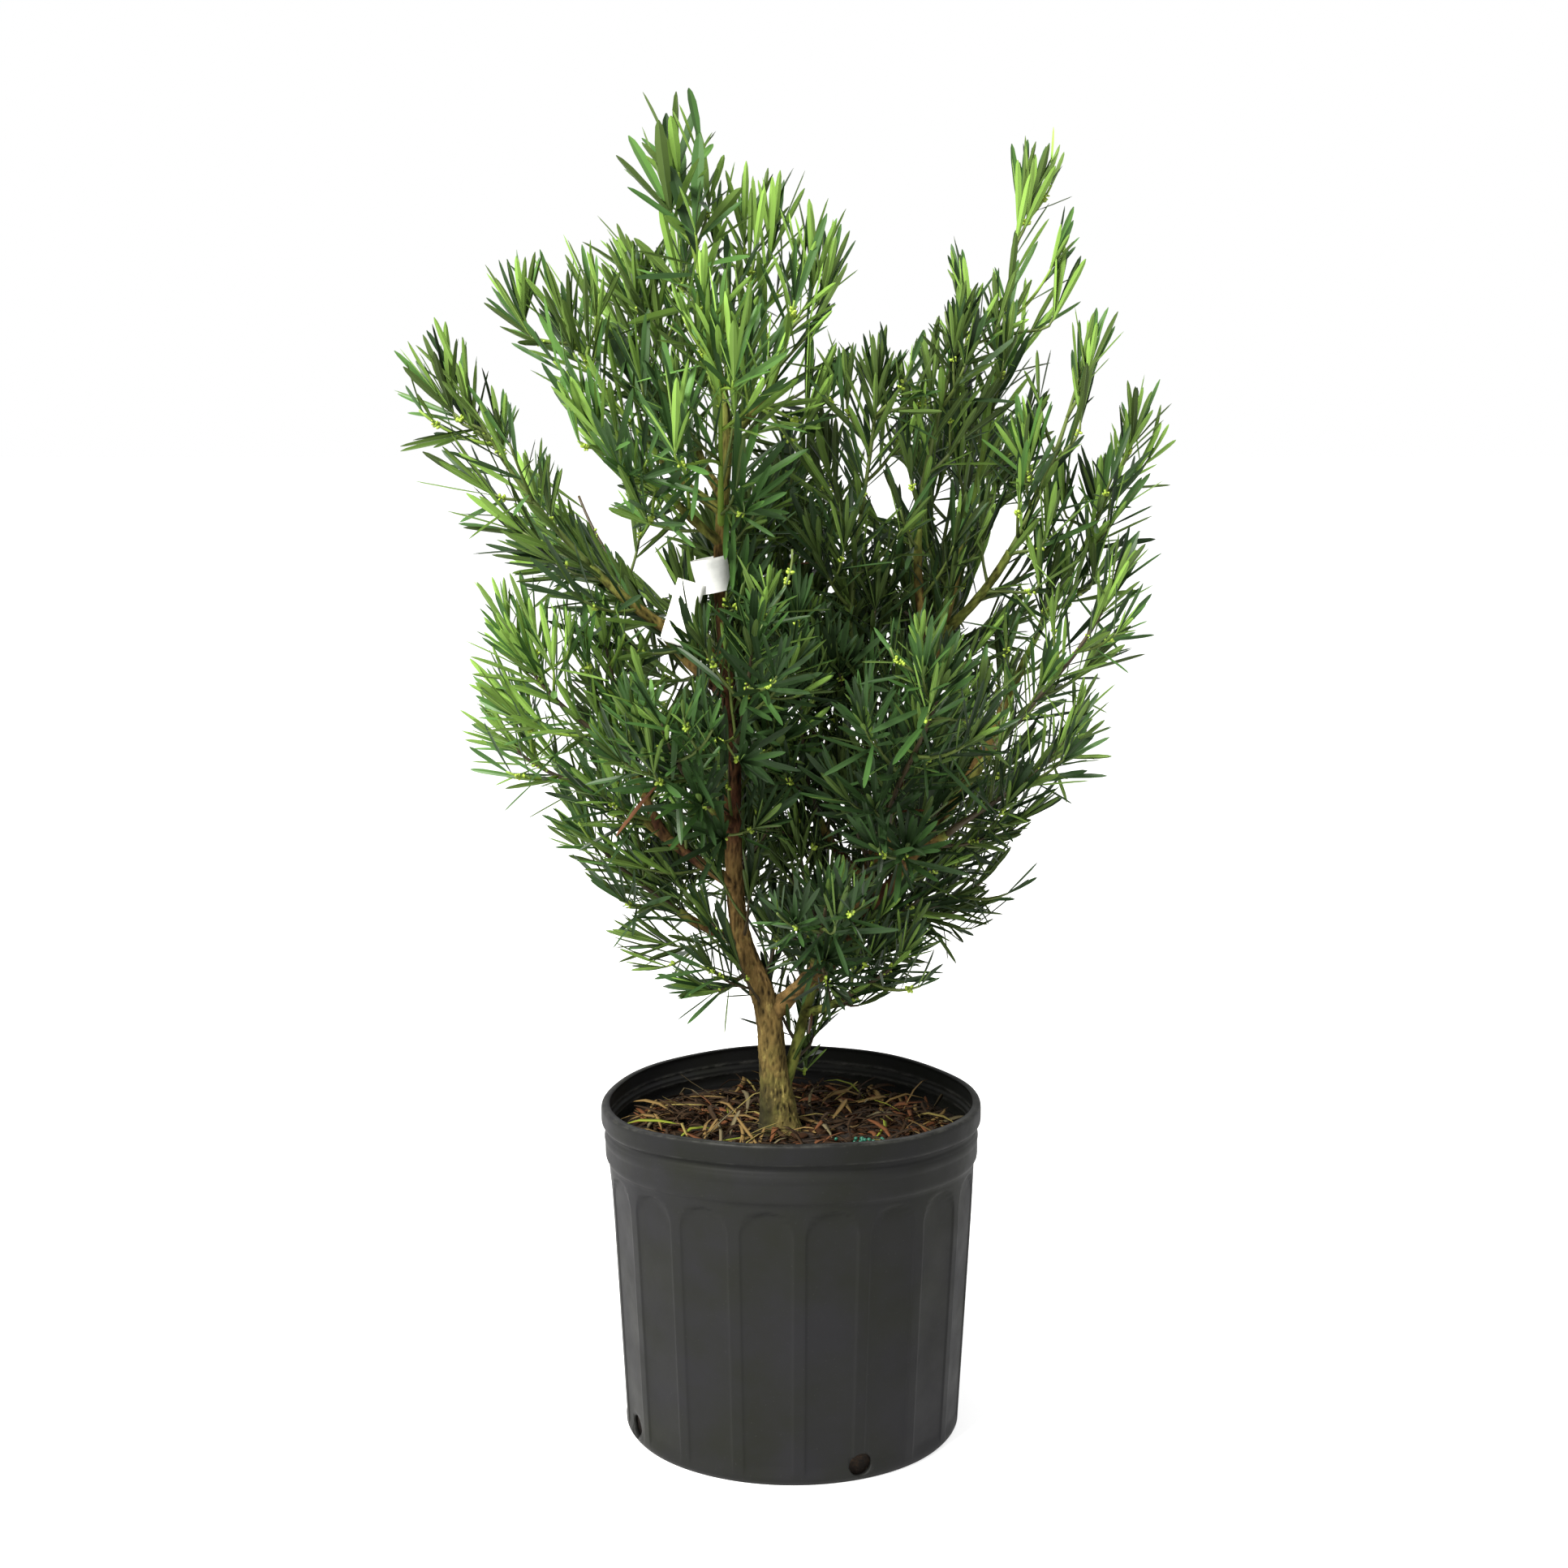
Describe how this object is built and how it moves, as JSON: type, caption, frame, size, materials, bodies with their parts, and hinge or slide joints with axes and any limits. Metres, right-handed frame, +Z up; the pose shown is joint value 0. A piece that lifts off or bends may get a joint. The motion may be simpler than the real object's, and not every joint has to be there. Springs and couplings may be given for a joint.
{
  "type": "podocarpus in a nursery pot",
  "caption": "Evergreen podocarpus shrub with a trunk that forks low, rising boughs and strap-leaved foliage, growing in a round panelled nursery pot.",
  "frame": {"origin": "centre of the pot's flat underside", "axes": "+Z up from the underside to the crown, +Y away from the front that the picture shows, +X to the right of that front"},
  "size_m": [0.5238, 0.3685, 0.9677],
  "materials": {
    "pot": "semi-matte moulded black plastic with dusty scuffs",
    "soil": "damp potting mix under bark mulch and leaf litter",
    "bark": "thin fissured bark, grey-tan at the foot and red-brown higher up",
    "foliage": "leathery green leaves with a slight gloss",
    "tag": "bare white plastic film"
  },
  "bodies": {
    "root": {"pot": "pot", "soil": "soil", "plant_tag": "tag", "trunk": "bark", "bough_top_right": "bark", "bough_top_back": "bark", "bough_top_left": "bark", "bough_left_upper": "bark", "bough_left_inner": "bark", "bough_left_low": "bark", "bough_left_middle": "bark", "bough_left_lowest": "bark", "bough_right_middle": "bark", "bough_right_outer": "bark", "bough_right_low": "bark", "bough_right_tall": "bark", "bough_right_high": "bark", "bough_right_inner": "bark", "bough_middle": "bark", "bough_centre": "bark", "bough_right_lowest": "bark", "bough_right_foot": "bark", "bough_front_left": "bark", "bough_front_right": "bark", "bough_front_low": "bark", "bough_back_left": "bark", "bough_back_middle": "bark", "bough_back_right": "bark", "bough_back_low_right": "bark", "foliage_crown_top": "foliage", "foliage_top_middle": "foliage", "foliage_top_right": "foliage", "foliage_top_back": "foliage", "foliage_top_front": "foliage", "foliage_top_left": "foliage", "foliage_left_upper": "foliage", "foliage_left_inner": "foliage", "foliage_left_low": "foliage", "foliage_left_middle": "foliage", "foliage_left_lowest": "foliage", "foliage_left_foot": "foliage", "foliage_right_middle": "foliage", "foliage_right_outer": "foliage", "foliage_right_low": "foliage", "foliage_right_tall": "foliage", "foliage_right_high": "foliage", "foliage_right_inner": "foliage", "foliage_middle": "foliage", "foliage_centre": "foliage", "foliage_right_lowest": "foliage", "foliage_right_foot": "foliage", "foliage_front_left": "foliage", "foliage_front_middle": "foliage", "foliage_front_right": "foliage", "foliage_front_low": "foliage", "foliage_back_left": "foliage", "foliage_back_middle": "foliage", "foliage_back_right": "foliage", "foliage_back_low": "foliage", "foliage_back_low_right": "foliage"}
  },
  "joints": []
}
